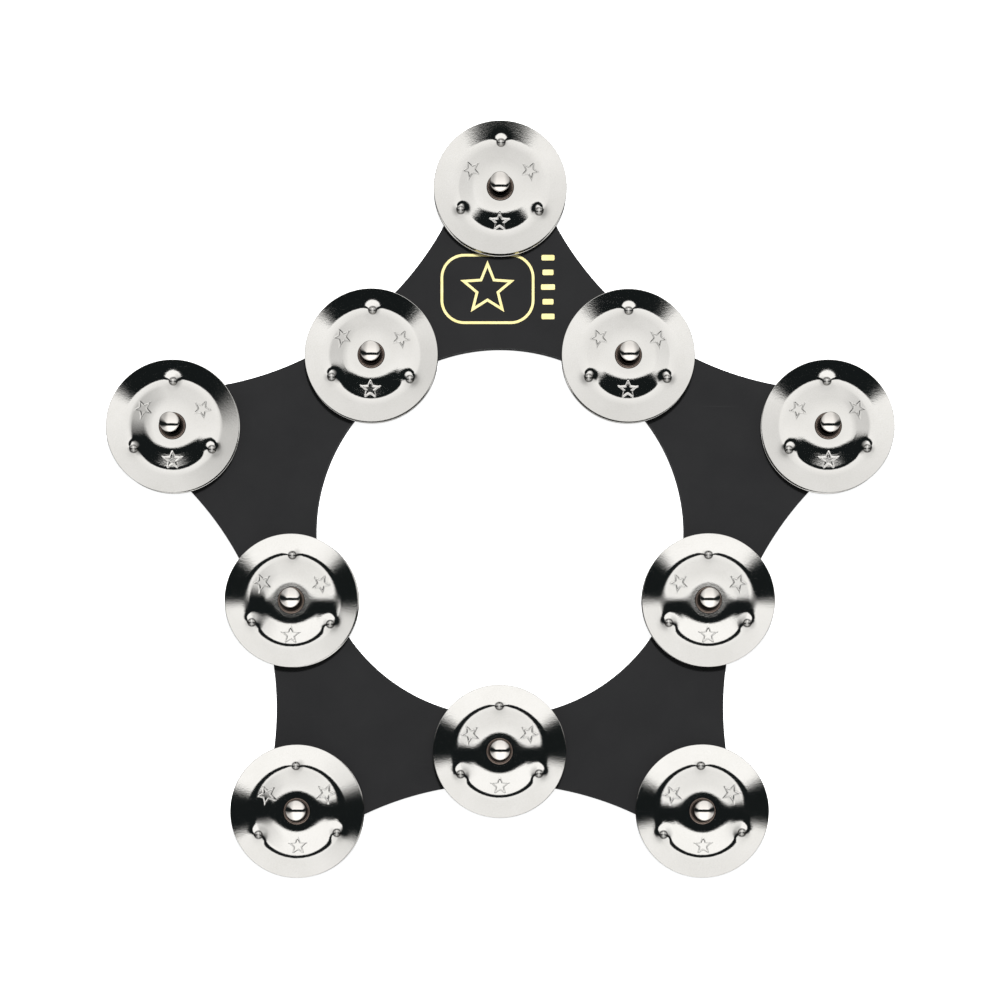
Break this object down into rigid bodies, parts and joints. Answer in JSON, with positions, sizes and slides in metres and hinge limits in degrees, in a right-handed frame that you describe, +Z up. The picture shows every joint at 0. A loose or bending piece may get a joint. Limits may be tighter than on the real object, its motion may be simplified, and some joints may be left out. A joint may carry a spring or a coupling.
{
  "type": "tambourine",
  "caption": "Flat star-shaped tambourine with a round window, carrying pairs of sliding metal jingles on capped pins, to lie on a drum head.",
  "frame": {"origin": "middle of the round window, on the plate's flat underside", "axes": "+Z up, from the underside towards the caps; +Y towards the first star point"},
  "size_m": [0.3136, 0.3008, 0.0162],
  "materials": {
    "plate": "matt charcoal black",
    "jingle_metal": "bright nickel-plated steel with a fine grain",
    "cap_metal": "polished, warm nickel",
    "pin_metal": "blackened steel",
    "gold_print": "pale gold print"
  },
  "bodies": {
    "star_frame": {"star_plate": "plate", "jingle_pins": "pin_metal", "retaining_caps": "cap_metal"},
    "lower_point_1": {"lower_jingle_point_1": "jingle_metal"},
    "upper_point_1": {"upper_jingle_point_1": "jingle_metal"},
    "lower_point_2": {"lower_jingle_point_2": "jingle_metal"},
    "upper_point_2": {"upper_jingle_point_2": "jingle_metal"},
    "lower_point_3": {"lower_jingle_point_3": "jingle_metal"},
    "upper_point_3": {"upper_jingle_point_3": "jingle_metal"},
    "lower_point_4": {"lower_jingle_point_4": "jingle_metal"},
    "upper_point_4": {"upper_jingle_point_4": "jingle_metal"},
    "lower_point_5": {"lower_jingle_point_5": "jingle_metal"},
    "upper_point_5": {"upper_jingle_point_5": "jingle_metal"},
    "lower_waist_1": {"lower_jingle_waist_1": "jingle_metal"},
    "upper_waist_1": {"upper_jingle_waist_1": "jingle_metal"},
    "lower_waist_2": {"lower_jingle_waist_2": "jingle_metal"},
    "upper_waist_2": {"upper_jingle_waist_2": "jingle_metal"},
    "lower_waist_3": {"lower_jingle_waist_3": "jingle_metal"},
    "upper_waist_3": {"upper_jingle_waist_3": "jingle_metal"},
    "lower_waist_4": {"lower_jingle_waist_4": "jingle_metal"},
    "upper_waist_4": {"upper_jingle_waist_4": "jingle_metal"},
    "lower_waist_5": {"lower_jingle_waist_5": "jingle_metal"},
    "upper_waist_5": {"upper_jingle_waist_5": "jingle_metal"}
  },
  "joints": [
    {"name": "slide_lower_point_1", "type": "slide", "parent": "star_frame", "child": "lower_point_1", "axis": [0, 0, 1], "range_m": [0, 0.0024]},
    {"name": "slide_upper_point_1", "type": "slide", "parent": "lower_point_1", "child": "upper_point_1", "axis": [0, 0, 1], "range_m": [0, 0.0024]},
    {"name": "slide_lower_point_2", "type": "slide", "parent": "star_frame", "child": "lower_point_2", "axis": [0, 0, 1], "range_m": [0, 0.0024]},
    {"name": "slide_upper_point_2", "type": "slide", "parent": "lower_point_2", "child": "upper_point_2", "axis": [0, 0, 1], "range_m": [0, 0.0024]},
    {"name": "slide_lower_point_3", "type": "slide", "parent": "star_frame", "child": "lower_point_3", "axis": [0, 0, 1], "range_m": [0, 0.0024]},
    {"name": "slide_upper_point_3", "type": "slide", "parent": "lower_point_3", "child": "upper_point_3", "axis": [0, 0, 1], "range_m": [0, 0.0024]},
    {"name": "slide_lower_point_4", "type": "slide", "parent": "star_frame", "child": "lower_point_4", "axis": [0, 0, 1], "range_m": [0, 0.0024]},
    {"name": "slide_upper_point_4", "type": "slide", "parent": "lower_point_4", "child": "upper_point_4", "axis": [0, 0, 1], "range_m": [0, 0.0024]},
    {"name": "slide_lower_point_5", "type": "slide", "parent": "star_frame", "child": "lower_point_5", "axis": [0, 0, 1], "range_m": [0, 0.0024]},
    {"name": "slide_upper_point_5", "type": "slide", "parent": "lower_point_5", "child": "upper_point_5", "axis": [0, 0, 1], "range_m": [0, 0.0024]},
    {"name": "slide_lower_waist_1", "type": "slide", "parent": "star_frame", "child": "lower_waist_1", "axis": [0, 0, 1], "range_m": [0, 0.0024]},
    {"name": "slide_upper_waist_1", "type": "slide", "parent": "lower_waist_1", "child": "upper_waist_1", "axis": [0, 0, 1], "range_m": [0, 0.0024]},
    {"name": "slide_lower_waist_2", "type": "slide", "parent": "star_frame", "child": "lower_waist_2", "axis": [0, 0, 1], "range_m": [0, 0.0024]},
    {"name": "slide_upper_waist_2", "type": "slide", "parent": "lower_waist_2", "child": "upper_waist_2", "axis": [0, 0, 1], "range_m": [0, 0.0024]},
    {"name": "slide_lower_waist_3", "type": "slide", "parent": "star_frame", "child": "lower_waist_3", "axis": [0, 0, 1], "range_m": [0, 0.0024]},
    {"name": "slide_upper_waist_3", "type": "slide", "parent": "lower_waist_3", "child": "upper_waist_3", "axis": [0, 0, 1], "range_m": [0, 0.0024]},
    {"name": "slide_lower_waist_4", "type": "slide", "parent": "star_frame", "child": "lower_waist_4", "axis": [0, 0, 1], "range_m": [0, 0.0024]},
    {"name": "slide_upper_waist_4", "type": "slide", "parent": "lower_waist_4", "child": "upper_waist_4", "axis": [0, 0, 1], "range_m": [0, 0.0024]},
    {"name": "slide_lower_waist_5", "type": "slide", "parent": "star_frame", "child": "lower_waist_5", "axis": [0, 0, 1], "range_m": [0, 0.0024]},
    {"name": "slide_upper_waist_5", "type": "slide", "parent": "lower_waist_5", "child": "upper_waist_5", "axis": [0, 0, 1], "range_m": [0, 0.0024]}
  ]
}
